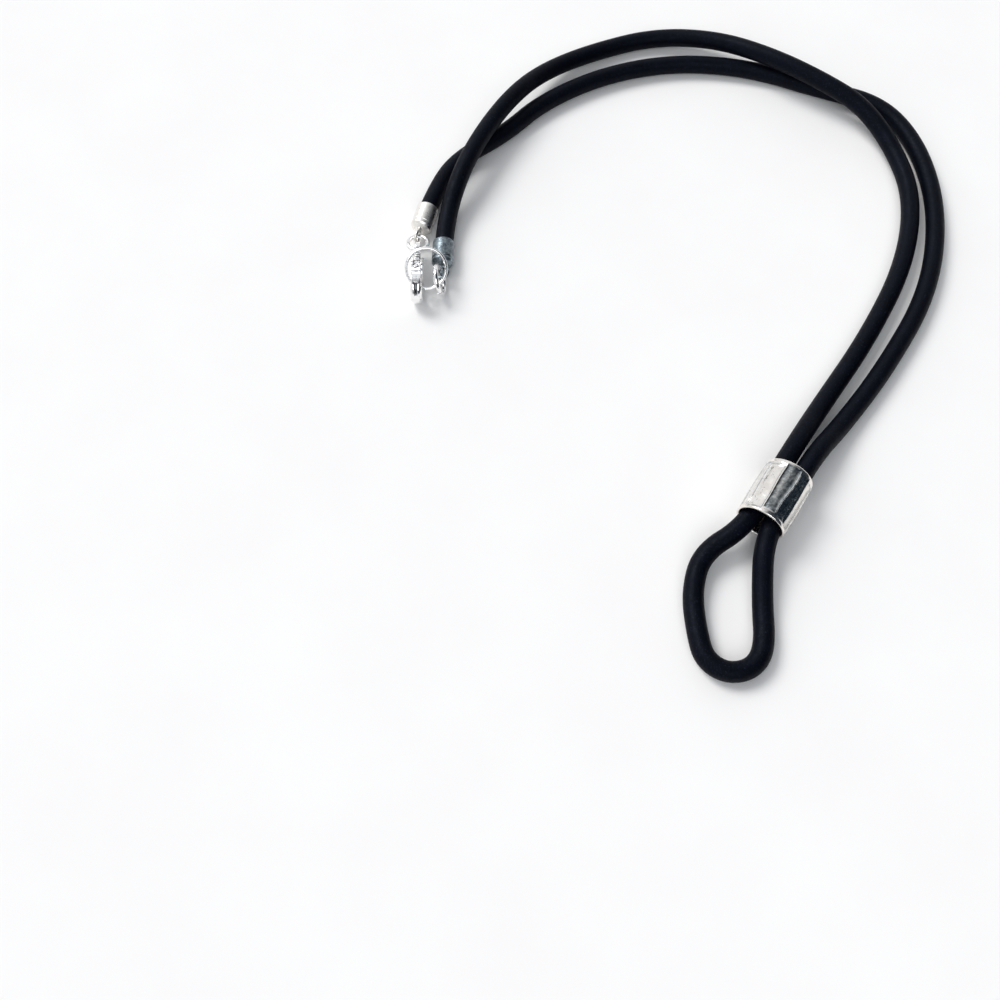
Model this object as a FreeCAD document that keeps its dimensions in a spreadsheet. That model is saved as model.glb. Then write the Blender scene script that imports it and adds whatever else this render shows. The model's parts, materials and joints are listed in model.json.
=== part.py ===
"""Eyeglass retainer strap: one round cord folded double through a sliding bead, capped at both
ends, and closed behind the neck by a lobster clasp and its rings.

Millimetres, +Z up. The strap lies on the plane Z = 0 and the origin is the middle of its footprint.
"""
import FreeCAD, Part
import math
import os
import Sketcher

V = FreeCAD.Vector
Rot = FreeCAD.Rotation
X_AXIS, Y_AXIS, Z_AXIS = V(1, 0, 0), V(0, 1, 0), V(0, 0, 1)

doc = FreeCAD.newDocument("eyeglass_retainer_strap")

# ---------------------------------------------------------------- driving dimensions
SIZES = {
    "cord_dia": 4.5,
    "bead_bore_dia": 9.9,
    "bead_end_dia": 11.2,
    "bead_mid_dia": 11.6,
    "bead_length": 14.0,
    "bead_rim": 0.35,
    "cap_outer_dia": 5.3,
    "cap_depth": 6.1,
    "cap_end_wall": 0.7,
    "cap_cord_depth": 5.7,
    "cap_loop_reach": 8.9,
    "cap_loop_radius": 1.55,
    "cap_loop_wire": 0.45,
    "left_ring_radius": 2.4,
    "left_ring_wire": 0.5,
    "right_ring_radius": 3.35,
    "right_ring_wire": 0.62,
    "closing_ring_radius": 4.8,
    "closing_ring_wire": 0.42,
    "ring_split_angle": 357.5,
    "clasp_thickness": 2.8,
    "hook_thickness": 2.2,
    "eye_thickness": 1.2,
    "hook_outer_radius": 4.2,
    "jaw_radius": 2.55,
    "eye_outer_radius": 1.95,
    "eye_hole_radius": 1.1,
    "lever_slot_width": 1.6,
    "lever_arm_width": 1.3,
    "gate_width": 2.3,
    "knob_width": 2.0,
    "gate_sweep_radius": 6.25,
    "pin_radius": 0.45,
    "pin_bore_radius": 0.5,
    "spring_radius": 0.42,
    "spring_wire": 0.11,
    "spring_pitch": 0.48,
    "spring_length": 1.85,
}

sheet = doc.addObject("Spreadsheet::Sheet", "sizes")
for row, (alias, value) in enumerate(SIZES.items(), start=1):
    sheet.set("A%d" % row, alias)
    sheet.set("B%d" % row, str(value))
    sheet.setAlias("B%d" % row, alias)
doc.recompute()


def size(alias):
    """A driving dimension, read back from the sheet."""
    return float(sheet.get(alias))


def bind(obj, prop, formula):
    """Tie a property to the sheet; a bare alias is enough for a plain size."""
    for alias in sorted(SIZES, key=len, reverse=True):
        formula = formula.replace("{%s}" % alias, "sizes.%s" % alias)
    obj.setExpression(prop, formula)


# ---------------------------------------------------------------- the cord's route
# Centreline corner points. It starts in the left cap, crosses under itself, comes down the
# right side, turns round in the temple loop below the bead, and goes back over to the right cap.
ROUTE = [
    (-63.2, 25.3, 2.65),
    (-59.9, 36.8, 2.65),
    (-54.5, 47.0, 2.25),
    (-42.5, 55.5, 2.25),
    (-32.5, 66.5, 2.25),
    (-16.0, 76.0, 2.25),
    (3.0, 80.5, 2.25),
    (23.0, 78.5, 2.25),
    (41.0, 71.0, 2.25),
    (56.5, 65.5, 2.25),
    (64.0, 51.0, 2.25),
    (65.5, 30.0, 2.25),
    (59.5, 6.0, 2.25),
    (45.5, -16.0, 2.25),
    (33.5, -31.0, 2.25),
    (25.9, -39.7, 5.8),
    (19.3, -49.7, 5.6),
    (12.4, -60.2, 5.8),
    (11.5, -73.0, 2.25),
    (11.2, -83.3, 2.25),
    (8.2, -87.9, 2.25),
    (2.8, -88.9, 2.25),
    (-1.6, -85.9, 2.25),
    (-2.7, -80.3, 2.25),
    (-3.2, -71.0, 2.25),
    (-0.5, -62.5, 3.2),
    (8.5, -57.6, 5.8),
    (15.4, -47.1, 5.6),
    (22.0, -37.1, 5.8),
    (29.0, -26.5, 2.25),
    (43.0, -7.0, 2.25),
    (55.0, 14.5, 2.25),
    (60.0, 35.0, 2.25),
    (57.0, 50.5, 3.0),
    (50.0, 61.5, 6.0),
    (40.5, 68.5, 7.3),
    (28.0, 77.0, 7.5),
    (14.5, 86.5, 4.6),
    (-2.0, 90.0, 2.25),
    (-19.5, 84.0, 2.25),
    (-32.0, 75.0, 4.5),
    (-40.0, 64.5, 7.3),
    (-47.5, 52.5, 7.3),
    (-53.3, 39.5, 7.0),
    (-57.3, 26.5, 2.65),
    (-57.7, 14.5, 2.65),
]
ARC_SHARE = 0.45

# ---------------------------------------------------------------- where things sit
BEAD_CENTRE = V(15.7, -50.95, 5.8)
BEAD_DIRECTION = V(0.551, 0.834, 0)
CLASP_EYE = V(-63.6, 17.5, 3.4)
CLOSING_RING_CENTRE = V(-61.4, 10.5, 5.35)
CLOSING_RING_SLOPE = 30.0
RIGHT_RING_LEAN = 15.0
RIGHT_RING_HEIGHT = 3.9

# Clasp side view: u runs from the eye towards the tip, v is the height above the floor.
EYE = (0.0, 3.4)
PIN = (6.3, 5.4)
JAW = (11.3, 4.2)
CHEEK_RADIUS = 1.35
HUB_RADIUS = 1.15
SLOT_FLOOR = 2.9
SLOT_ENDS = (4.7, 9.2)
SLOT_TOP = 9.0
SPRING_U = 7.9
NECK_OUTLINE = [(1.0, 1.75), (10.8, 0.03), (11.0, 3.0), (4.0, 5.6), (1.0, 4.9)]
SPINE_OUTLINE = [
    (3.2, 1.05),
    (8.4, 0.5),
    (8.6, 2.6),
    (8.6, 5.2),
    (7.2, 6.4),
    (5.4, 6.4),
    (4.2, 5.2),
    (3.0, 4.4),
    (2.6, 2.9),
]
ARM_OUTLINE = [(6.3, 4.6), (9.6, 5.9), (9.6, 7.7), (8.2, 7.4), (6.3, 6.5)]
KNOB_OUTLINE = [(8.2, 7.3), (7.9, 8.6), (8.2, 9.0), (9.5, 9.1), (9.9, 8.7), (10.0, 7.7), (9.3, 7.3)]

# The gate's room starts and ends at these angles about the pin; its back steps round the cheeks.
SWEEP_FROM, SWEEP_TO = -11.0, 47.0
ROOM_LOW_U, ROOM_TOP_U = 8.6, 7.3
ROOM_BENDS = [(7.3, 6.5), (8.6, 5.2)]

# The gate fills the hook's ring from GATE_REAR to its rounded tip, short of the ring's own faces.
GATE_REAR = 9.2
GATE_TIP = [(11.7, 8.28), (12.08, 7.43), (12.29, 6.55)]
GATE_INSET, GATE_LIFT = 0.1, 0.05

# The clasp stands on its spine: u points towards -Y, v points up.
CLASP_TURN = Rot(V(0, -1, 0), Z_AXIS, V(-1, 0, 0), "ZXY")
CLASP_PLACEMENT = FreeCAD.Placement(V(CLASP_EYE.x, CLASP_EYE.y, 0), CLASP_TURN)

nodes = []


def finish_node(obj, label, placement=None):
    """Name a sub-part, put it in its place and remember it for export."""
    obj.Label = label
    if placement is not None:
        obj.Placement = placement
    nodes.append(obj)
    return obj


# ---------------------------------------------------------------- sketch helpers
def new_body(name):
    return doc.addObject("PartDesign::Body", name)


def origin_plane(body, role):
    return next(f for f in body.Origin.OriginFeatures if f.Role == role)


def new_sketch(body, name, role):
    sketch = body.newObject("Sketcher::SketchObject", name)
    sketch.AttachmentSupport = (origin_plane(body, role), [""])
    sketch.MapMode = "FlatFace"
    return sketch


def draw(sketch, edges):
    """Add edges that keep the place they are given."""
    for edge in edges:
        index = sketch.addGeometry(edge, False)
        sketch.addConstraint(Sketcher.Constraint("Block", index))


def draw_circle(sketch, centre, radius_formula, start_radius):
    """Add a circle with a fixed centre; its radius starts as given and follows the formula."""
    index = sketch.addGeometry(Part.Circle(V(centre[0], centre[1], 0), Z_AXIS, start_radius), False)
    sketch.addConstraint(Sketcher.Constraint("DistanceX", -1, 1, index, 3, centre[0]))
    sketch.addConstraint(Sketcher.Constraint("DistanceY", -1, 1, index, 3, centre[1]))
    radius = sketch.addConstraint(Sketcher.Constraint("Radius", index, start_radius))
    bind(sketch, "Constraints[%d]" % radius, radius_formula)


def run_of_lines(points):
    """Straight edges from each flat point to the next."""
    corners = [V(x, y, 0) for x, y in points]
    return [Part.LineSegment(a, b) for a, b in zip(corners, corners[1:])]


def polygon(points):
    """Closed ring of straight edges through flat points."""
    return run_of_lines(points + points[:1])


def pad(body, sketch, name, length_formula):
    feature = body.newObject("PartDesign::Pad", name)
    feature.Profile = sketch
    feature.Midplane = True
    bind(feature, "Length", length_formula)
    return feature


def pocket(body, sketch, name, length_formula):
    feature = body.newObject("PartDesign::Pocket", name)
    feature.Profile = sketch
    feature.Midplane = True
    bind(feature, "Length", length_formula)
    return feature


def revolve(body, sketch, name):
    """Turn a profile about the body's Z axis."""
    feature = body.newObject("PartDesign::Revolution", name)
    feature.Profile = sketch
    feature.ReferenceAxis = (sketch, ["V_Axis"])
    feature.Angle = 360
    return feature


# ---------------------------------------------------------------- cord
def cord_path():
    """Straight runs joined by tangent arcs, and the arcs' radii."""
    points = [V(*p) for p in ROUTE]
    edges, radii = [], []
    last = points[0]
    for before, corner, after in zip(points, points[1:], points[2:]):
        back, ahead = before - corner, after - corner
        turn = math.pi - back.getAngle(ahead)
        reach = ARC_SHARE * min(back.Length, ahead.Length)
        radii.append(reach / math.tan(turn / 2))
        back.normalize()
        ahead.normalize()
        start, end = corner + back * reach, corner + ahead * reach
        inward = back + ahead
        inward.normalize()
        middle = corner + inward * (reach * math.tan(turn / 4))
        edges.append(Part.LineSegment(last, start).toShape())
        edges.append(Part.Arc(start, middle, end).toShape())
        last = end
    edges.append(Part.LineSegment(last, points[-1]).toShape())
    return Part.Wire(edges), radii


def make_cord():
    path, radii = cord_path()
    radius = size("cord_dia") / 2
    start = V(*ROUTE[0])
    profile = Part.Wire(Part.makeCircle(radius, start, V(*ROUTE[1]) - start))
    cord = doc.addObject("Part::Feature", "cord_solid")
    cord.Shape = path.makePipeShell([profile], True, False)
    expected = math.pi * radius ** 2 * path.Length
    print("cord length %.1f mm, volume %.1f of %.1f" % (path.Length, cord.Shape.Volume, expected))
    print("cord arc radii:", " ".join("%.1f" % r for r in radii))
    if abs(cord.Shape.Volume - expected) > 0.01 * expected:
        raise RuntimeError("the cord's tube has the wrong volume")
    finish_node(cord, "cord")


# ---------------------------------------------------------------- end caps
def cap_frame(end, next_point):
    """Mouth and outward direction of the cap that the cord ends in."""
    outward = V(*end) - V(*next_point)
    outward.normalize()
    return V(*end) - outward * size("cap_cord_depth"), outward


def cap_profile():
    """Half section: radius across, distance from the mouth up."""
    outer, bore = size("cap_outer_dia") / 2, size("cord_dia") / 2
    depth = size("cap_depth")
    top = depth + size("cap_end_wall")
    lip, groove = 0.12, 0.18
    groove_start, groove_end = depth - 1.1, depth - 0.6
    shoulder, crown = 0.35, 0.45
    neck_radius = 1.25
    return polygon([
        (bore, 0.0),
        (outer - lip, 0.0),
        (outer, lip),
        (outer, groove_start),
        (outer - groove, groove_start + 0.15),
        (outer - groove, groove_end - 0.15),
        (outer, groove_end),
        (outer, depth - 0.1),
        (outer - shoulder, depth + shoulder),
        (neck_radius, top + 0.25),
        (0.0, top + crown),
        (0.0, depth),
        (bore, depth),
    ])


def make_cap(label, mouth, outward, loop_axis):
    """Cup, shoulder and cast loop; loop_axis is the direction of the loop's hole."""
    body = new_body(label + "_body")
    sketch = new_sketch(body, label + "_profile", "XZ_Plane")
    draw(sketch, cap_profile())
    revolve(body, sketch, label + "_cup")
    loop = body.newObject("PartDesign::AdditiveTorus", label + "_loop")
    bind(loop, "Radius1", "{cap_loop_radius}")
    bind(loop, "Radius2", "{cap_loop_wire}")
    loop.Placement = FreeCAD.Placement(V(0, 0, size("cap_loop_reach")), Rot(Y_AXIS, 90))
    body.Tip = loop
    finish_node(body, label, FreeCAD.Placement(mouth, Rot(loop_axis, V(0, 0, 0), outward, "ZXY")))


def make_glue(label, mouth, outward):
    """Cured adhesive between the cord's end and the floor of the cup."""
    glue = doc.addObject("Part::Cylinder", label + "_disc")
    bind(glue, "Radius", "{cord_dia} / 2 - 0.02")
    bind(glue, "Height", "{cap_depth} - {cap_cord_depth}")
    cord_end = mouth + outward * size("cap_cord_depth")
    finish_node(glue, label, FreeCAD.Placement(cord_end, Rot(Z_AXIS, outward)))


# ---------------------------------------------------------------- bead
def make_bead():
    """Barrel with a slight belly, a straight bore and rounded rims."""
    half = size("bead_length") / 2
    bore, end, mid = size("bead_bore_dia") / 2, size("bead_end_dia") / 2, size("bead_mid_dia") / 2
    rim = size("bead_rim")
    body = new_body("slider_bead_body")
    sketch = new_sketch(body, "slider_bead_profile", "XZ_Plane")
    rim_mid = (bore + end) / 2
    draw(sketch, [
        Part.LineSegment(V(bore, -half + rim, 0), V(bore, half - rim, 0)),
        Part.Arc(V(bore, half - rim, 0), V(rim_mid, half, 0), V(end, half - rim, 0)),
        Part.Arc(V(end, half - rim, 0), V(mid, 0, 0), V(end, -half + rim, 0)),
        Part.Arc(V(end, -half + rim, 0), V(rim_mid, -half, 0), V(bore, -half + rim, 0)),
    ])
    revolve(body, sketch, "slider_bead_barrel")
    finish_node(body, "slider_bead", FreeCAD.Placement(BEAD_CENTRE, Rot(Z_AXIS, BEAD_DIRECTION)))


# ---------------------------------------------------------------- rings
def make_ring(label, kind, placement):
    """A jump ring: round wire bent to a circle with a hairline joint between its ends."""
    ring = doc.addObject("Part::Torus", label + "_wire")
    bind(ring, "Radius1", "{%s_radius}" % kind)
    bind(ring, "Radius2", "{%s_wire}" % kind)
    bind(ring, "Angle3", "{ring_split_angle}")
    finish_node(ring, label, placement)


def make_rings(left_loop, right_loop):
    """The rings, each passing through the middle of the loop or jaw that holds it."""
    to_eye = CLASP_EYE - left_loop
    left_plane = Rot(to_eye, V(0, 0, 0), Z_AXIS, "XZY")
    make_ring("jump_ring_left", "left_ring", FreeCAD.Placement((left_loop + CLASP_EYE) * 0.5, left_plane))

    slope = Rot(X_AXIS, CLOSING_RING_SLOPE)
    make_ring("closing_ring", "closing_ring", FreeCAD.Placement(CLOSING_RING_CENTRE, slope))

    lean = math.radians(RIGHT_RING_LEAN)
    up_ring = V(-math.sin(lean), 0, math.cos(lean))
    rise = (RIGHT_RING_HEIGHT - right_loop.z) / math.cos(lean)
    along = math.sqrt(size("right_ring_radius") ** 2 - rise ** 2)
    centre = right_loop + up_ring * rise - Y_AXIS * along
    right_plane = Rot(Y_AXIS * -1, up_ring, V(0, 0, 0), "XYZ")
    make_ring("jump_ring_right", "right_ring", FreeCAD.Placement(centre, right_plane))


# ---------------------------------------------------------------- clasp
def arc_about(centre, radius, from_deg, to_deg):
    """Arc of a circle about a flat centre, counter-clockwise."""
    circle = Part.Circle(V(centre[0], centre[1], 0), Z_AXIS, radius)
    return Part.ArcOfCircle(circle, math.radians(from_deg), math.radians(to_deg))


def make_clasp_body():
    """Hook, cheeks and eye, cut for the jaw, the lever's slot and the gate's sweep."""
    body = new_body("clasp_body_body")

    for name, outline, thickness in [
        ("clasp_neck", NECK_OUTLINE, "eye_thickness"),
        ("clasp_spine", SPINE_OUTLINE, "clasp_thickness"),
    ]:
        flat = new_sketch(body, name + "_outline", "XY_Plane")
        draw(flat, polygon(outline))
        pad(body, flat, name, "{%s}" % thickness)

    for name, centre, formula, start, thickness in [
        ("clasp_hook", JAW, "{hook_outer_radius}", size("hook_outer_radius"), "hook_thickness"),
        ("clasp_cheek", PIN, "%s" % CHEEK_RADIUS, CHEEK_RADIUS, "clasp_thickness"),
        ("clasp_eye", EYE, "{eye_outer_radius}", size("eye_outer_radius"), "eye_thickness"),
    ]:
        disc = new_sketch(body, name + "_disc", "XY_Plane")
        draw_circle(disc, centre, formula, start)
        pad(body, disc, name, "{%s}" % thickness)

    jaw = new_sketch(body, "clasp_jaw_circle", "XY_Plane")
    draw_circle(jaw, JAW, "{jaw_radius}", size("jaw_radius"))
    pocket(body, jaw, "clasp_jaw", "{clasp_thickness} + 1")

    # The gate's room: everything in front of the cheeks that the gate's end sweeps past.
    sweep = size("gate_sweep_radius")
    front = arc_about(PIN, sweep, SWEEP_FROM, SWEEP_TO)
    first, last = front.StartPoint, front.EndPoint
    back = [(last.x, last.y), (ROOM_TOP_U, last.y), *ROOM_BENDS, (ROOM_LOW_U, first.y), (first.x, first.y)]
    gate_room = new_sketch(body, "clasp_gate_room", "XY_Plane")
    draw(gate_room, [front] + run_of_lines(back))
    pocket(body, gate_room, "clasp_gate_cut", "{clasp_thickness} + 1")

    slot = new_sketch(body, "clasp_slot_outline", "XY_Plane")
    rear, front = SLOT_ENDS
    draw(slot, polygon([(rear, SLOT_FLOOR), (front, SLOT_FLOOR), (front, SLOT_TOP), (rear, SLOT_TOP)]))
    pocket(body, slot, "clasp_slot", "{lever_slot_width}")

    for name, centre, alias in [
        ("clasp_eye_hole", EYE, "eye_hole_radius"),
        ("clasp_pin_hole", PIN, "pin_radius"),
    ]:
        hole = new_sketch(body, name + "_circle", "XY_Plane")
        draw_circle(hole, centre, "{%s}" % alias, size(alias))
        pocket(body, hole, name, "{clasp_thickness} + 1")
    finish_node(body, "clasp_body", CLASP_PLACEMENT)


def above_jaw(u, radius):
    """The upper point, at u, of a circle about the jaw."""
    return V(u, JAW[1] + math.sqrt(radius ** 2 - (JAW[0] - u) ** 2), 0)


def make_clasp_lever():
    """Hub and arm between the cheeks, the gate that closes the jaw, and the thumb knob."""
    body = new_body("clasp_lever_body")
    hub = new_sketch(body, "lever_hub_circle", "XY_Plane")
    draw_circle(hub, PIN, "%s" % HUB_RADIUS, HUB_RADIUS)
    pad(body, hub, "lever_hub", "{lever_arm_width}")

    arm = new_sketch(body, "lever_arm_outline", "XY_Plane")
    draw(arm, polygon(ARM_OUTLINE))
    pad(body, arm, "lever_arm", "{lever_arm_width}")

    gate = new_sketch(body, "lever_gate_outline", "XY_Plane")
    outer, inner = size("hook_outer_radius") - GATE_INSET, size("jaw_radius") + GATE_LIFT
    top_rear, top_mid = above_jaw(GATE_REAR, outer), above_jaw(JAW[0] - 0.8, outer)
    low_rear, low_mid = above_jaw(GATE_REAR, inner), above_jaw(JAW[0] - 0.6, inner)
    top_end, mid_end, low_end = [V(u, v, 0) for u, v in GATE_TIP]
    draw(gate, [
        Part.Arc(top_rear, top_mid, top_end),
        Part.Arc(top_end, mid_end, low_end),
        Part.Arc(low_end, low_mid, low_rear),
        Part.LineSegment(low_rear, top_rear),
    ])
    pad(body, gate, "lever_gate", "{gate_width}")

    knob = new_sketch(body, "lever_knob_outline", "XY_Plane")
    draw(knob, polygon(KNOB_OUTLINE))
    pad(body, knob, "lever_knob", "{knob_width}")

    bore = new_sketch(body, "lever_bore_circle", "XY_Plane")
    draw_circle(bore, PIN, "{pin_bore_radius}", size("pin_bore_radius"))
    pocket(body, bore, "lever_bore", "{clasp_thickness}")
    finish_node(body, "clasp_lever", CLASP_PLACEMENT)


def clasp_point(u, v, side=0.0):
    """A point of the clasp's side view, in the strap's frame."""
    return V(CLASP_EYE.x - side, CLASP_EYE.y - u, v)


def make_clasp_pin():
    pin = doc.addObject("Part::Cylinder", "clasp_pin_rod")
    bind(pin, "Radius", "{pin_radius}")
    bind(pin, "Height", "{clasp_thickness}")
    start = clasp_point(PIN[0], PIN[1]) - X_AXIS * (size("clasp_thickness") / 2)
    finish_node(pin, "clasp_pin", FreeCAD.Placement(start, Rot(Z_AXIS, X_AXIS)))


def make_clasp_spring():
    """Coil that pushes the lever's arm up, standing on the slot's floor."""
    coil, wire = size("spring_radius"), size("spring_wire")
    length = size("spring_length") - 2 * wire
    helix = Part.makeHelix(size("spring_pitch"), length, coil)
    profile = Part.Wire(Part.makeCircle(wire, V(coil, 0, 0), Y_AXIS))
    spring = doc.addObject("Part::Feature", "clasp_spring_coil")
    spring.Shape = Part.Wire(helix).makePipeShell([profile], True, True)
    finish_node(spring, "clasp_spring", FreeCAD.Placement(clasp_point(SPRING_U, SLOT_FLOOR + wire), Rot()))


# ---------------------------------------------------------------- assembly
def check_all():
    """Stop before anything is written if an object failed or a shape isn't sound."""
    for obj in doc.Objects:
        if "Invalid" in obj.State or "Error" in obj.State:
            raise RuntimeError("%s is in state %s" % (obj.Label, obj.State))
    for obj in nodes:
        if obj.Shape.isNull() or not obj.Shape.isValid():
            raise RuntimeError("%s has a bad shape" % obj.Label)


def build():
    make_cord()
    left_mouth, left_outward = cap_frame(ROUTE[0], ROUTE[1])
    right_mouth, right_outward = cap_frame(ROUTE[-1], ROUTE[-2])
    lean = math.radians(RIGHT_RING_LEAN)
    make_cap("end_cap_left", left_mouth, left_outward, left_outward.cross(Z_AXIS))
    make_cap("end_cap_right", right_mouth, right_outward, V(-math.sin(lean), 0, math.cos(lean)))
    make_glue("glue_left", left_mouth, left_outward)
    make_glue("glue_right", right_mouth, right_outward)
    make_bead()
    reach = size("cap_loop_reach")
    make_rings(left_mouth + left_outward * reach, right_mouth + right_outward * reach)
    make_clasp_body()
    make_clasp_lever()
    make_clasp_pin()
    make_clasp_spring()
    doc.recompute()
    check_all()


def export():
    os.makedirs("parts", exist_ok=True)
    for obj in nodes:
        obj.Shape.exportStep("parts/%s.step" % obj.Label)
        box = obj.Shape.BoundBox
        print("%-18s %d solid  %9.2f mm3  X %7.2f %7.2f  Y %7.2f %7.2f  Z %6.2f %6.2f" % (
            obj.Label, len(obj.Shape.Solids), obj.Shape.Volume,
            box.XMin, box.XMax, box.YMin, box.YMax, box.ZMin, box.ZMax))


build()
export()
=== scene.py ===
"""Eyeglass retainer strap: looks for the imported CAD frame, in metres."""

import json
import math

import bmesh
import bpy
from mathutils import Euler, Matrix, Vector, noise


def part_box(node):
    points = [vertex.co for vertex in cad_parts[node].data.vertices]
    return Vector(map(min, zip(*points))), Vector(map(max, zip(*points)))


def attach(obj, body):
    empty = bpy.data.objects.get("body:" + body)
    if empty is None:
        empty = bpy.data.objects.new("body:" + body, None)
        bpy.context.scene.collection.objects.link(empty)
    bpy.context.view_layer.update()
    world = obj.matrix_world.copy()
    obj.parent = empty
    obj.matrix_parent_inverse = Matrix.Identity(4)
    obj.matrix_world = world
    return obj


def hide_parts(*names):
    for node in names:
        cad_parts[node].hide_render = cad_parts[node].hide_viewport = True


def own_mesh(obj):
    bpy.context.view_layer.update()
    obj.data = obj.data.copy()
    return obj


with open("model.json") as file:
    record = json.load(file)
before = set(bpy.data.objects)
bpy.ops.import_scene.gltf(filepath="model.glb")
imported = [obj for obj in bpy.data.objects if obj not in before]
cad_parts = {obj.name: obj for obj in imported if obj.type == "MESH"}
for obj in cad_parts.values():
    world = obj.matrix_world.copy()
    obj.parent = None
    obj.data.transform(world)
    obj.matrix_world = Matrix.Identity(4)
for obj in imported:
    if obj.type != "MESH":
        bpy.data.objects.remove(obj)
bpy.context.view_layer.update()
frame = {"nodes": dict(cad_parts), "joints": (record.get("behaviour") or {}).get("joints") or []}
MM = 0.001

CORD_DIAMETER = 4.5 * MM
# The cord's centreline corners, in millimetres: the route that the CAD tube follows.
ROUTE_MM = [
    (-63.2, 25.3, 2.65),
    (-59.9, 36.8, 2.65),
    (-54.5, 47.0, 2.25),
    (-42.5, 55.5, 2.25),
    (-32.5, 66.5, 2.25),
    (-16.0, 76.0, 2.25),
    (3.0, 80.5, 2.25),
    (23.0, 78.5, 2.25),
    (41.0, 71.0, 2.25),
    (56.5, 65.5, 2.25),
    (64.0, 51.0, 2.25),
    (65.5, 30.0, 2.25),
    (59.5, 6.0, 2.25),
    (45.5, -16.0, 2.25),
    (33.5, -31.0, 2.25),
    (25.9, -39.7, 5.8),
    (19.3, -49.7, 5.6),
    (12.4, -60.2, 5.8),
    (11.5, -73.0, 2.25),
    (11.2, -83.3, 2.25),
    (8.2, -87.9, 2.25),
    (2.8, -88.9, 2.25),
    (-1.6, -85.9, 2.25),
    (-2.7, -80.3, 2.25),
    (-3.2, -71.0, 2.25),
    (-0.5, -62.5, 3.2),
    (8.5, -57.6, 5.8),
    (15.4, -47.1, 5.6),
    (22.0, -37.1, 5.8),
    (29.0, -26.5, 2.25),
    (43.0, -7.0, 2.25),
    (55.0, 14.5, 2.25),
    (60.0, 35.0, 2.25),
    (57.0, 50.5, 3.0),
    (50.0, 61.5, 6.0),
    (40.5, 68.5, 7.3),
    (28.0, 77.0, 7.5),
    (14.5, 86.5, 4.6),
    (-2.0, 90.0, 2.25),
    (-19.5, 84.0, 2.25),
    (-32.0, 75.0, 4.5),
    (-40.0, 64.5, 7.3),
    (-47.5, 52.5, 7.3),
    (-53.3, 39.5, 7.0),
    (-57.3, 26.5, 2.65),
    (-57.7, 14.5, 2.65),
]

# Bead, in millimetres: the radii of its bore, ends and middle, its length, and its rims' widths.
BEAD_BORE, BEAD_END, BEAD_MID, BEAD_LENGTH = 4.95, 5.6, 5.8, 14.0
BEAD_RIM, BORE_RIM = 0.42, 0.30
# How finely its mesh is divided: round it, along its outside and along its bore.
BEAD_SEGMENTS, BEAD_STATIONS, BORE_STATIONS = 432, 90, 12
# Where its hammered facets meet round its axis, in degrees, and how dark each facet is painted:
# painted reflection of the room.
BEAD_RIDGES = [-132, -92, -52, -7, 39, 69, 102, 145, 185]
FACET_PAINTED_TONE = [0.35, 0.75, 0.20, 0.05, 0.95, 0.62, 0.0, 0.30, 0.60]
# A facet's depth is a share of a flat's. Its ends stop short of the bead's by these millimetres.
FACET_DEPTH, FACET_END_GAP, FACET_END_SHIFT = 1.10, 0.75, 0.35
# How many degrees a ridge wanders, and how fast along the bead and from ridge to ridge, in radians.
RIDGE_DRIFT, RIDGE_WAVE, RIDGE_SPREAD = 3.0, 0.45, 1.9
# A dark outline of painted reflection runs inside each facet's edge, with its place as a share of
# the facet's half width; the painted tone fades out by the last share.
OUTLINE_AT, OUTLINE_WIDTH, OUTLINE_DARKNESS, PAINTED_TONE_ENDS = 0.88, 0.05, 0.8, 0.96

# Clasp, in millimetres: where its side view starts, and its jaw.
CLASP_X, CLASP_EYE_Y = -63.6, 17.5
JAW_ALONG, JAW_HEIGHT, JAW_INNER, JAW_OUTER = 11.3, 4.2, 2.4, 4.2
# Ribs round its neck, in millimetres. Its sides are also pressed in by a share of the ribs' depth.
RIB_START, RIB_END, RIB_PITCH, RIB_DEPTH = 1.95, 4.35, 0.8, 0.11
RIB_SIDE_PRESS, RIB_FREE_MIDDLE, NECK_MIDDLE = 0.2, 0.2, 3.4
# Its nose: how much wider and rounder than the CAD's, and how many degrees to each side of its tip.
NOSE_SWELL, NOSE_ROUNDING, NOSE_HALF_TURN, NOSE_FADE = 0.38, 0.72, 62, 14
# The slot along the back of the nose: its turn in degrees, its width and depth in millimetres.
SLOT_TURN, SLOT_HALF_TURN, SLOT_TURN_BLEND = 44, 22, 2.0
SLOT_HALF_WIDTH, SLOT_WIDTH_BLEND, SLOT_DEPTH, SLOT_SKIN = 0.42, 0.10, 0.5, 0.75
# The oval ring pressed into the thumb knob, in millimetres; the line's width is a share of it.
KNOB_ALONG, KNOB_TOP, KNOB_SKIN = 8.85, 9.05, 0.45
OVAL_ALONG, OVAL_ACROSS, OVAL_DEPTH = 0.62, 0.58, 0.16
OVAL_LINE, OVAL_LINE_BLEND = 0.17, 0.09
# Castings: the voxel that softens a CAD solid's edges, and how many rounds of smoothing follow.
CAP_VOXEL, CAP_ROUNDS = 0.07 * MM, 3
BODY_VOXEL, BODY_ROUNDS = 0.06 * MM, 26
LEVER_VOXEL, LEVER_ROUNDS = 0.05 * MM, 14

# Camera: it looks at a floor point left of and in front of the strap's middle.
LOOK_AT = Vector((-43.7, -48.4, 0.0)) * MM
CAMERA_ELEVATION = math.radians(64.5)
CAMERA_DISTANCE = 255 * MM
CAMERA_LENS, CAMERA_SENSOR = 41.4, 36.0
# The room is dark this way, so the metal has something dark to reflect. The ramp's two positions
# are how far towards it the light begins to fall and the dark is reached.
DARK_TOWARD = (0.72, -0.50, 0.48)
DARK_BEGINS, DARK_REACHED = 0.10, 0.72
ROOM_BRIGHT, ROOM_DARK, ROOM_STRENGTH = (0.95, 0.97, 1.0, 1), (0.035, 0.045, 0.06, 1), 0.86
# The floor lies a hair below the object, and reaches nearly to the horizon of a low view.
FLOOR_HALF_SIZE, FLOOR_DROP = 12.0, 0.02 * MM


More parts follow.
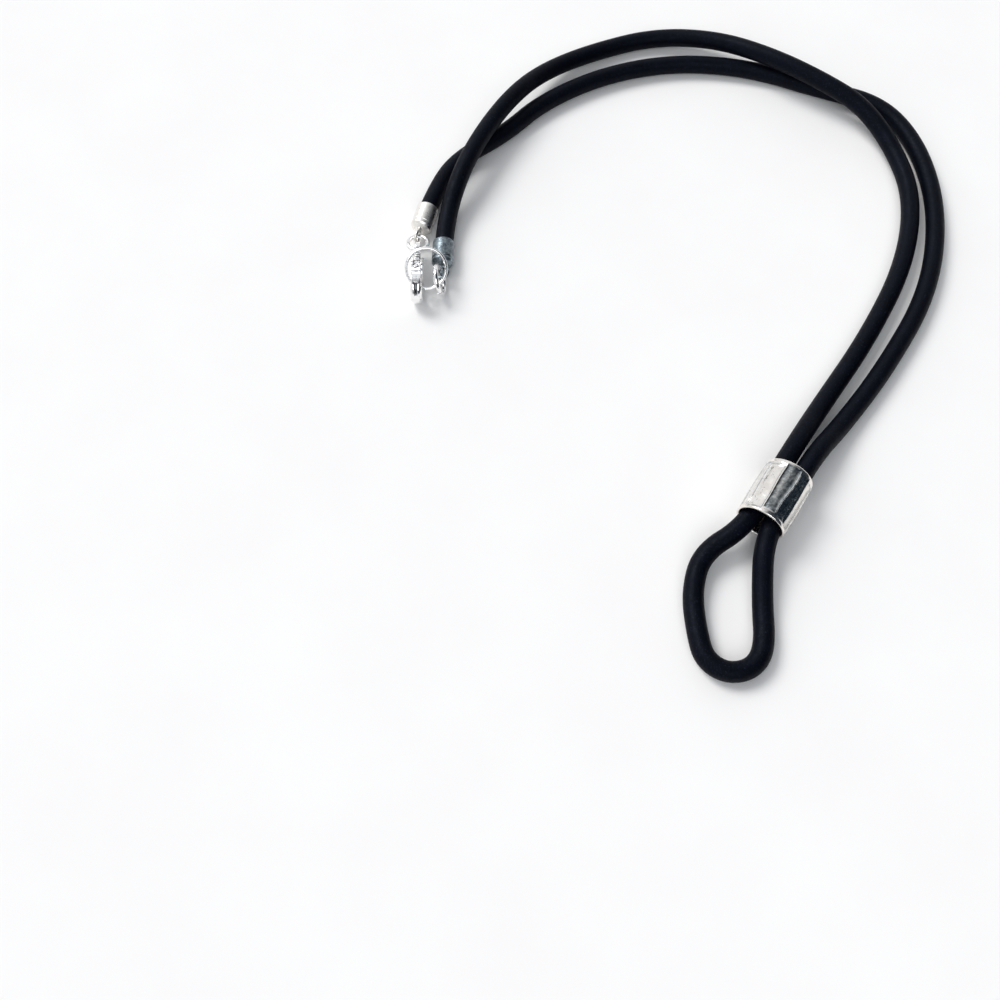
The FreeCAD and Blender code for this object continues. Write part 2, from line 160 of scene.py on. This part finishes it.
# ---------------------------------------------------------------- node helpers
class Shader:
    """A material's node tree, with short calls for the nodes used here."""

    def __init__(self, name):
        self.material = bpy.data.materials.new(name)
        self.material.use_nodes = True
        self.tree = self.material.node_tree
        self.surface = self.tree.nodes["Principled BSDF"]
        self.coords = self.tree.nodes.new("ShaderNodeTexCoord").outputs["Object"]

    def link(self, source, target):
        self.tree.links.new(source, target)

    def set(self, **values):
        """Plain values on the shader's own sockets, named with _ for each space."""
        for socket, value in values.items():
            self.surface.inputs[socket.replace("_", " ")].default_value = value

    def noise(self, scale, detail=3.0, roughness=0.55, distortion=0.0, stretch=None):
        node = self.tree.nodes.new("ShaderNodeTexNoise")
        node.inputs["Scale"].default_value = scale
        node.inputs["Detail"].default_value = detail
        node.inputs["Roughness"].default_value = roughness
        node.inputs["Distortion"].default_value = distortion
        source = self.coords
        if stretch is not None:
            mapping = self.tree.nodes.new("ShaderNodeMapping")
            mapping.inputs["Scale"].default_value = stretch
            self.link(self.coords, mapping.inputs["Vector"])
            source = mapping.outputs["Vector"]
        self.link(source, node.inputs["Vector"])
        return node.outputs["Fac"]

    def attribute(self, name):
        node = self.tree.nodes.new("ShaderNodeAttribute")
        node.attribute_name = name
        return node.outputs["Fac"]

    def cells(self, scale, feature="F1"):
        node = self.tree.nodes.new("ShaderNodeTexVoronoi")
        node.feature = feature
        node.inputs["Scale"].default_value = scale
        self.link(self.coords, node.inputs["Vector"])
        return node.outputs["Distance"]

    def ramp(self, source, stops):
        """Colour ramp from (position, value or colour) stops."""
        node = self.tree.nodes.new("ShaderNodeValToRGB")
        elements = node.color_ramp.elements
        while len(elements) < len(stops):
            elements.new(0.5)
        for element, (position, colour) in zip(elements, stops):
            rgb = colour if isinstance(colour, tuple) else (colour,) * 3
            element.position = position
            element.color = (*rgb, 1.0)
        self.link(source, node.inputs["Fac"])
        return node.outputs["Color"]

    def mix(self, factor, first, second, blend="MIX"):
        """Colour mix; each input is a socket, a colour or a number."""
        node = self.tree.nodes.new("ShaderNodeMix")
        node.data_type = "RGBA"
        node.blend_type = blend
        for index, value in ((0, factor), (6, first), (7, second)):
            socket = node.inputs[index]
            if isinstance(value, bpy.types.NodeSocket):
                self.link(value, socket)
            elif isinstance(value, tuple):
                socket.default_value = (*value, 1.0)
            else:
                socket.default_value = value
        return node.outputs[2]

    def add(self, first, second, weight):
        """The first plus the second times its weight."""
        node = self.tree.nodes.new("ShaderNodeMath")
        node.operation = "MULTIPLY_ADD"
        self.link(second, node.inputs[0])
        node.inputs[1].default_value = weight
        self.link(first, node.inputs[2])
        return node.outputs[0]

    def bump(self, height, distance, strength):
        node = self.tree.nodes.new("ShaderNodeBump")
        node.inputs["Distance"].default_value = distance
        node.inputs["Strength"].default_value = strength
        self.link(height, node.inputs["Height"])
        self.link(node.outputs["Normal"], self.surface.inputs["Normal"])

    def colour(self, source):
        self.link(source, self.surface.inputs["Base Color"])

    def roughness(self, source):
        self.link(source, self.surface.inputs["Roughness"])


# ---------------------------------------------------------------- materials
def cord_material():
    """Matte black round cord: navy cast, fine leathery grain and paler specks painted into its
    colour as glints.
    """
    s = Shader("cord_black")
    black, navy = (0.0008, 0.0010, 0.0030), (0.0020, 0.0026, 0.0068)
    tone = s.ramp(s.noise(260, 4), [(0.3, black), (0.75, navy)])
    # Painted glints: pale specks in the base colour stand in for the grain catching the light.
    painted_glint_specks = s.ramp(s.noise(3400, 2, 0.75), [(0.60, 0.0), (0.72, 0.8)])
    s.colour(s.mix(painted_glint_specks, tone, (0.022, 0.027, 0.042)))
    s.roughness(s.ramp(s.noise(900, 4), [(0.3, 0.42), (0.7, 0.6)]))
    grain = s.add(s.cells(2600, "SMOOTH_F1"), s.noise(6500, 3), 0.5)
    s.bump(grain, 0.00006, 0.55)
    s.set(Specular_IOR_Level=0.09, Specular_Tint=(0.70, 0.80, 1.0, 1.0))
    return s.material


def bead_material():
    """Hammered antique silver: each facet painted its own tone as painted reflection, dark painted
    outlines inside its edges, bright ridges, small pits.
    """
    s = Shader("bead_silver")
    # Painted reflection: the vertex tone darkens facets and their outlines, broken up by a random
    # cloud.
    painted_shade_reflection_and_tarnish = s.attribute("painted_shade_reflection_and_tarnish")
    cloud = s.ramp(s.noise(420, 5, 0.65, 0.5), [(0.36, 0.55), (0.62, 1.25)])
    mottled_painted_reflection = s.mix(1.0, painted_shade_reflection_and_tarnish, cloud, "MULTIPLY")
    silver = s.ramp(s.noise(500, 4), [(0.3, (0.84, 0.79, 0.73)), (0.7, (0.97, 0.94, 0.90))])
    slate_stops = [
        (0.38, (0.14, 0.18, 0.20)),
        (0.54, (0.34, 0.40, 0.43)),
        (0.66, (0.90, 0.92, 0.92)),
    ]
    slate = s.ramp(s.noise(1900, 4, 0.7), slate_stops)
    body = s.mix(mottled_painted_reflection, silver, slate)
    pits = s.ramp(s.noise(2400, 2, 0.7), [(0.29, 1.0), (0.34, 0.0)])
    s.colour(s.mix(pits, body, (0.05, 0.055, 0.06)))
    s.roughness(s.ramp(s.noise(1100, 4), [(0.3, 0.10), (0.7, 0.26)]))
    dents = s.add(s.noise(420, 2), s.noise(2600, 3), 0.25)
    s.bump(dents, 0.00012, 0.35)
    s.set(Metallic=1.0)
    return s.material


def satin_material():
    """Bright satin silver of the left cap, with fine scratches along it."""
    s = Shader("cap_satin_silver")
    s.colour(s.ramp(s.noise(800, 4), [(0.3, (0.80, 0.77, 0.72)), (0.7, (0.95, 0.93, 0.90))]))
    s.roughness(s.ramp(s.noise(1400, 3), [(0.3, 0.24), (0.7, 0.42)]))
    s.bump(s.noise(3000, 3, 0.6, 0.0, (1.0, 0.12, 1.0)), 0.00003, 0.5)
    s.set(Metallic=1.0)
    return s.material


def painted_shade_cap_material():
    """Darkened silver of the right cap, painted shade: a shaded copy of the left cap's silver,
    slate with pale specks.
    """
    s = Shader("cap_silver_painted_shade")
    # Painted shade: slate tones in place of the silver the left cap shows.
    tone = s.ramp(s.noise(900, 5, 0.65), [(0.35, (0.09, 0.11, 0.13)), (0.62, (0.26, 0.31, 0.34))])
    pale_specks = s.ramp(s.noise(3600, 3, 0.7), [(0.60, 0.0), (0.70, 1.0)])
    s.colour(s.mix(pale_specks, tone, (0.80, 0.82, 0.82)))
    s.roughness(s.ramp(s.noise(1500, 3), [(0.3, 0.22), (0.7, 0.45)]))
    s.bump(s.noise(2600, 3), 0.00004, 0.5)
    s.set(Metallic=1.0)
    return s.material


def polished_material():
    """Bright plated metal of the clasp and rings, with random dark patches and painted shade in the
    relief's grooves.
    """
    s = Shader("plated_silver")
    patches = s.ramp(s.noise(1300, 4, 0.6), [(0.57, 0.0), (0.70, 0.6)])
    # Random dark patches, plus painted shade stored on the relief's vertices.
    painted_shade_reflection_and_tarnish = s.mix(1.0, patches, s.attribute("painted_shade_reflection_and_tarnish"), "LIGHTEN")
    s.colour(s.mix(painted_shade_reflection_and_tarnish, (0.95, 0.945, 0.94), (0.10, 0.11, 0.12)))
    s.roughness(s.ramp(s.noise(2000, 3), [(0.3, 0.06), (0.7, 0.18)]))
    s.bump(s.noise(900, 2), 0.00005, 0.35)
    s.set(Metallic=1.0)
    return s.material


def spring_material():
    """Plain steel wire of the clasp's spring."""
    s = Shader("spring_wire")
    s.colour(s.ramp(s.noise(3000, 2), [(0.3, (0.42, 0.42, 0.44)), (0.7, (0.62, 0.62, 0.64))]))
    s.roughness(s.ramp(s.noise(4000, 2), [(0.3, 0.25), (0.7, 0.4)]))
    s.set(Metallic=1.0)
    return s.material


def glue_material():
    """Amber adhesive inside the caps."""
    s = Shader("cured_glue")
    s.colour(s.ramp(s.noise(900, 3), [(0.3, (0.58, 0.50, 0.34)), (0.7, (0.72, 0.66, 0.50))]))
    s.roughness(s.ramp(s.noise(1500, 2), [(0.3, 0.15), (0.7, 0.3)]))
    s.set(Subsurface_Weight=0.2)
    return s.material


def floor_material():
    """Plain pale floor, a little warm."""
    s = Shader("pale_floor")
    s.colour(s.ramp(s.noise(30, 3), [(0.3, (0.915, 0.905, 0.90)), (0.7, (0.935, 0.93, 0.92))]))
    s.set(Roughness=0.75, Specular_IOR_Level=0.2)
    return s.material


# ---------------------------------------------------------------- pieces
def add_object(name, data, material):
    piece = bpy.data.objects.new(name, data)
    bpy.context.scene.collection.objects.link(piece)
    piece.data.materials.clear()
    piece.data.materials.append(material)
    return piece


def make_cord(material):
    """One smooth curve whose control points are the route's corners."""
    curve = bpy.data.curves.new("cord_curve", "CURVE")
    curve.dimensions = "3D"
    spline = curve.splines.new("NURBS")
    spline.points.add(len(ROUTE_MM) - 1)
    for point, corner in zip(spline.points, ROUTE_MM):
        point.co = (*(Vector(corner) * MM), 1.0)
    spline.order_u = 3
    spline.use_endpoint_u = True
    spline.resolution_u = 16
    curve.bevel_depth = CORD_DIAMETER / 2
    curve.bevel_resolution = 9
    curve.use_fill_caps = True
    piece = add_object("strap_cord", curve, material)
    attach(piece, "root")
    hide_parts("cord")
    return piece


def facet_at(angle, along):
    """Depth in millimetres, and painted reflection tone, of the facet at an angle and a place along
    the bead.
    """
    drift = RIDGE_DRIFT * math.sin(along * RIDGE_WAVE)
    ridges = [ridge + drift * math.cos(RIDGE_SPREAD * i) for i, ridge in enumerate(BEAD_RIDGES)]
    ridges.append(ridges[0] + 360)
    angle = (angle - ridges[0]) % 360 + ridges[0]
    index = max(i for i in range(len(BEAD_RIDGES)) if ridges[i] <= angle)
    low, high = ridges[index], ridges[index + 1]
    across = abs(2 * angle - low - high) / (high - low)
    shifted = along + FACET_END_SHIFT * math.sin(2.3 * index)
    end = min(1.0, abs(shifted) / (BEAD_LENGTH / 2 - FACET_END_GAP))
    sagitta = BEAD_MID * (1 - math.cos(math.radians(high - low) / 2))
    depth = FACET_DEPTH * sagitta * (1 - across ** 5) * (1 - end ** 12)
    edge = max(across, end ** 2)
    outline = OUTLINE_DARKNESS * math.exp(-((edge - OUTLINE_AT) / OUTLINE_WIDTH) ** 2)
    fade = PAINTED_TONE_ENDS - OUTLINE_AT
    inside = 1 if edge < OUTLINE_AT else max(0.0, (PAINTED_TONE_ENDS - edge) / fade)
    return depth, min(1.0, FACET_PAINTED_TONE[index] * inside + outline * inside)


def bead_profile():
    """Stations round the bead's wall: (distance along the axis, radius, share of the facets)."""
    half = BEAD_LENGTH / 2
    outer = []
    for i in range(BEAD_STATIONS + 1):
        along = (2 * i / BEAD_STATIONS - 1) * (half - BEAD_RIM)
        belly = 1 - (along / half) ** 2
        outer.append((along, BEAD_END + (BEAD_MID - BEAD_END) * belly, 1.0))
    rim = [
        (half - 0.28, BEAD_END - 0.01, 0.6),
        (half - 0.16, BEAD_END - 0.05, 0.4),
        (half - 0.07, BEAD_END - 0.13, 0.2),
        (half - 0.01, BEAD_END - 0.24, 0.1),
        (half, BEAD_BORE + 0.30, 0.0),
        (half - 0.03, BEAD_BORE + 0.16, 0.0),
        (half - 0.12, BEAD_BORE + 0.05, 0.0),
        (half - BORE_RIM, BEAD_BORE, 0.0),
    ]
    inner = half - BORE_RIM
    step = 2 * inner / BORE_STATIONS
    bore = [(inner - i * step, BEAD_BORE, 0.0) for i in range(1, BORE_STATIONS)]
    back_rim = [(-along, radius, share) for along, radius, share in reversed(rim)]
    return outer + rim + bore + back_rim


def make_bead(material):
    """Hammered barrel on the CAD bead's centre and its slide joint's axis."""
    low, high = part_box("slider_bead")
    centre = (Vector(low) + Vector(high)) / 2
    slide = next(j for j in frame["joints"] if j["name"] == "bead_slide")
    axis = Vector(slide["axis"]).normalized()
    up = Vector((0, 0, 1))
    side = axis.cross(up).normalized()
    mesh = bmesh.new()
    painted_shade_reflection_and_tarnish = mesh.verts.layers.float.new("painted_shade_reflection_and_tarnish")
    rings = []
    for along, radius, share in bead_profile():
        ring = []
        for k in range(BEAD_SEGMENTS):
            angle = 360 * k / BEAD_SEGMENTS
            turn = math.radians(angle)
            place = Vector((math.cos(turn) * radius, math.sin(turn) * radius, along))
            dent = 0.05 * noise.noise(place * 0.45) + 0.02 * noise.noise(place * 1.4) - 0.03
            depth, darkness = facet_at(angle, along)
            offset = side * math.cos(turn) + up * math.sin(turn)
            reach = radius + share * (dent - depth)
            vertex = mesh.verts.new(centre + (offset * reach + axis * along) * MM)
            # Painted reflection: each facet's dark tone and outline are stored on the vertex.
            vertex[painted_shade_reflection_and_tarnish] = darkness if share > 0.5 else 0.0
            ring.append(vertex)
        rings.append(ring)
    for ring, following in zip(rings, rings[1:] + rings[:1]):
        for k in range(BEAD_SEGMENTS):
            n = (k + 1) % BEAD_SEGMENTS
            mesh.faces.new((ring[k], ring[n], following[n], following[k]))
    bmesh.ops.recalc_face_normals(mesh, faces=mesh.faces)
    data = bpy.data.meshes.new("hammered_bead_mesh")
    mesh.to_mesh(data)
    mesh.free()
    data.shade_smooth()
    piece = add_object("hammered_bead", data, material)
    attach(piece, "bead")
    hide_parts("slider_bead")


def cast_copy(node, name, body, material, voxel, rounds, relief=None):
    """A copy of a CAD solid with the softened edges of a casting, and its relief pressed in with
    painted shade in it.
    """
    piece = add_object(name, frame["nodes"][node].data.copy(), material)
    remesh = piece.modifiers.new("soften", "REMESH")
    remesh.mode = "VOXEL"
    remesh.voxel_size = voxel
    smooth = piece.modifiers.new("polish", "SMOOTH")
    smooth.factor = 0.5
    smooth.iterations = rounds
    graph = bpy.context.evaluated_depsgraph_get()
    softened = bpy.data.meshes.new_from_object(piece.evaluated_get(graph))
    piece.modifiers.clear()
    piece.data = softened
    piece.data.materials.clear()
    piece.data.materials.append(material)
    piece.data.shade_smooth()
    if relief is not None:
        # Painted shade: each vertex's darkness in the pressed relief is stored for the material.
        darkness = softened.attributes.new("painted_shade_reflection_and_tarnish", "FLOAT", "POINT")
        for vertex, painted_groove_shade in zip(softened.vertices, darkness.data):
            vertex.co, painted_groove_shade.value = relief(vertex.co)
    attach(piece, body)
    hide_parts(node)


def clasp_view(point):
    """A point in the clasp's side view, in millimetres: along from its eye, height, and across."""
    return CLASP_EYE_Y - point.y / MM, point.z / MM, point.x / MM - CLASP_X


def soft_step(value, edge, blend):
    """1 well under the edge, 0 well over it."""
    return min(1.0, max(0.0, (edge + blend - value) / (2 * blend)))


def body_relief(point):
    """Turned ribs round the clasp's neck, a rounder nose on its hook, and a slot along that, with
    painted shade in the ribs' grooves and the slot.
    """
    along, height, across = clasp_view(point)
    moved, dark = point.copy(), 0.0
    if RIB_START < along < RIB_END:
        wave = math.cos(2 * math.pi * (along - RIB_START) / RIB_PITCH)
        if abs(across) > RIB_FREE_MIDDLE:
            moved.x -= math.copysign(RIB_DEPTH * (wave + RIB_SIDE_PRESS), across) * MM
        moved.z -= math.copysign(RIB_DEPTH * wave, height - NECK_MIDDLE) * MM
        # Painted shade in the ribs' grooves.
        dark = max(0.0, wave)
    from_jaw = Vector((along - JAW_ALONG, height - JAW_HEIGHT))
    turn = math.degrees(math.atan2(from_jaw.y, from_jaw.x))
    if from_jaw.length > JAW_INNER:
        middle = (JAW_INNER + JAW_OUTER) / 2
        off_middle = min(1.0, abs(from_jaw.length - middle) / (JAW_OUTER - middle))
        widening = (1 + NOSE_SWELL) * math.sqrt(1 - NOSE_ROUNDING * off_middle ** 2) - 1
        moved.x += widening * across * soft_step(abs(turn), NOSE_HALF_TURN, NOSE_FADE) * MM
    if from_jaw.length > JAW_OUTER - SLOT_SKIN:
        in_width = soft_step(abs(across), SLOT_HALF_WIDTH, SLOT_WIDTH_BLEND)
        in_turn = soft_step(abs(turn - SLOT_TURN), SLOT_HALF_TURN, SLOT_TURN_BLEND)
        groove = in_width * in_turn
        inward = -from_jaw.normalized() * groove * SLOT_DEPTH * MM
        moved.y -= inward.x
        moved.z += inward.y
        # Painted shade in the slot.
        dark = max(dark, groove)
    return moved, dark


def lever_relief(point):
    """An oval ring pressed into the top of the thumb knob, with painted shade in its line."""
    along, height, across = clasp_view(point)
    moved = point.copy()
    press = 0.0
    if height > KNOB_TOP - KNOB_SKIN:
        oval = math.hypot((along - KNOB_ALONG) / OVAL_ALONG, across / OVAL_ACROSS)
        # Painted shade in the oval's line, where it is pressed in.
        press = soft_step(abs(oval - 1.0), OVAL_LINE, OVAL_LINE_BLEND)
    moved.z -= press * OVAL_DEPTH * MM
    return moved, press


def dress_node(node, material):
    """Give a CAD node that is shown as it is a better material."""
    data = frame["nodes"][node].data
    data.materials.clear()
    data.materials.append(material)


def make_spring(material):
    """The clasp's coil, a copy of the CAD spring carried with the clasp."""
    piece = add_object("spring_coil", frame["nodes"]["clasp_spring"].data.copy(), material)
    piece.data.shade_smooth()
    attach(piece, "clasp")
    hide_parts("clasp_spring")
    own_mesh(piece)


# ---------------------------------------------------------------- stage
def make_floor(material):
    size = FLOOR_HALF_SIZE
    data = bpy.data.meshes.new("floor_mesh")
    corners = [(-size, -size, 0), (size, -size, 0), (size, size, 0), (-size, size, 0)]
    data.from_pydata(corners, [], [(0, 1, 2, 3)])
    floor = add_object("floor", data, material)
    floor.location.z = -FLOOR_DROP


def make_light(name, source, spread, strength, colour):
    """Soft light from far away, which lights the whole floor alike; spread is in degrees."""
    data = bpy.data.lights.new(name, "SUN")
    data.angle = math.radians(spread)
    data.energy = strength
    data.color = colour
    light = bpy.data.objects.new(name, data)
    bpy.context.scene.collection.objects.link(light)
    light.location = source
    light.rotation_euler = Vector(source).to_track_quat("Z", "Y").to_euler()


def make_world():
    """Soft room light, bright on the left and behind, dark on the right, in front and overhead."""
    world = bpy.data.worlds.new("studio")
    bpy.context.scene.world = world
    world.use_nodes = True
    tree = world.node_tree
    coords = tree.nodes.new("ShaderNodeTexCoord").outputs["Generated"]
    toward = tree.nodes.new("ShaderNodeVectorMath")
    toward.operation = "DOT_PRODUCT"
    toward.inputs[1].default_value = DARK_TOWARD
    ramp = tree.nodes.new("ShaderNodeValToRGB")
    ramp.color_ramp.interpolation = "EASE"
    ramp.color_ramp.elements[0].position = DARK_BEGINS
    ramp.color_ramp.elements[0].color = ROOM_BRIGHT
    ramp.color_ramp.elements[1].position = DARK_REACHED
    ramp.color_ramp.elements[1].color = ROOM_DARK
    tree.links.new(coords, toward.inputs[0])
    tree.links.new(toward.outputs["Value"], ramp.inputs["Fac"])
    background = tree.nodes["Background"]
    tree.links.new(ramp.outputs["Color"], background.inputs["Color"])
    background.inputs["Strength"].default_value = ROOM_STRENGTH


def make_camera():
    data = bpy.data.cameras.new("camera")
    data.lens = CAMERA_LENS
    data.sensor_width = CAMERA_SENSOR
    data.clip_start = 0.005
    camera = bpy.data.objects.new("camera", data)
    bpy.context.scene.collection.objects.link(camera)
    toward = Vector((0, -math.cos(CAMERA_ELEVATION), math.sin(CAMERA_ELEVATION)))
    camera.location = LOOK_AT + toward * CAMERA_DISTANCE
    camera.rotation_euler = Euler((math.pi / 2 - CAMERA_ELEVATION, 0, 0))
    bpy.context.scene.camera = camera


# ---------------------------------------------------------------- making
make_camera()
cord = make_cord(cord_material())

make_bead(bead_material())
plated = polished_material()
cast_copy(
    "end_cap_left", "cap_left_cast", "root", satin_material(),
    CAP_VOXEL, CAP_ROUNDS,
)
cast_copy(
    "end_cap_right", "cap_right_cast", "root", painted_shade_cap_material(),
    CAP_VOXEL, CAP_ROUNDS,
)
cast_copy(
    "clasp_body", "clasp_body_cast", "clasp", plated,
    BODY_VOXEL, BODY_ROUNDS, body_relief,
)
cast_copy(
    "clasp_lever", "clasp_lever_cast", "lever", plated,
    LEVER_VOXEL, LEVER_ROUNDS, lever_relief,
)
for node in ("jump_ring_left", "jump_ring_right", "closing_ring", "clasp_pin"):
    dress_node(node, plated)
make_spring(spring_material())
glue = glue_material()
dress_node("glue_left", glue)
dress_node("glue_right", glue)

make_floor(floor_material())
make_world()
make_light("key", (-0.90, 0.70, 1.30), 28, 1.75, (1.0, 0.985, 0.965))
make_light("fill", (0.10, -1.10, 1.20), 40, 0.85, (0.94, 0.97, 1.0))

view = bpy.context.scene.view_settings
view.view_transform = "Standard"
view.look = "None"
